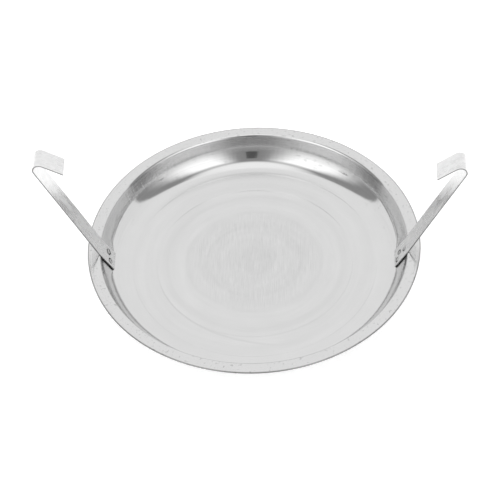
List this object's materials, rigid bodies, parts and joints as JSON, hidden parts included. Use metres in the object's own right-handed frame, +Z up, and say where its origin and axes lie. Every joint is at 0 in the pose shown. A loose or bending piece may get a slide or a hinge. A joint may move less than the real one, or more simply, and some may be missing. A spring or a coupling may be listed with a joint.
{
  "type": "hanging dish",
  "caption": "Shallow round stainless steel dish with a flat hemmed rim and two tall flat straps spot-welded inside its wall, bent over at the top so that it hangs from a bar or ring.",
  "frame": {"origin": "under the centre of the dish's floor, on the surface that it stands on", "axes": "+Z up, X through the two straps, the front at -Y"},
  "size_m": [0.3666, 0.3, 0.141],
  "materials": {
    "polished_steel": "polished, with fine circular and straight brushing on the floor",
    "strap_steel": "mill finish, lightly mottled",
    "weld_mark": "heat-darkened dimple"
  },
  "bodies": {
    "root": {"dish": "polished_steel", "left_strap": "strap_steel", "right_strap": "strap_steel", "left_weld_back": "weld_mark", "left_weld_front": "weld_mark", "right_weld_back": "weld_mark", "right_weld_front": "weld_mark", "right_weld_upper": "weld_mark"}
  },
  "joints": []
}
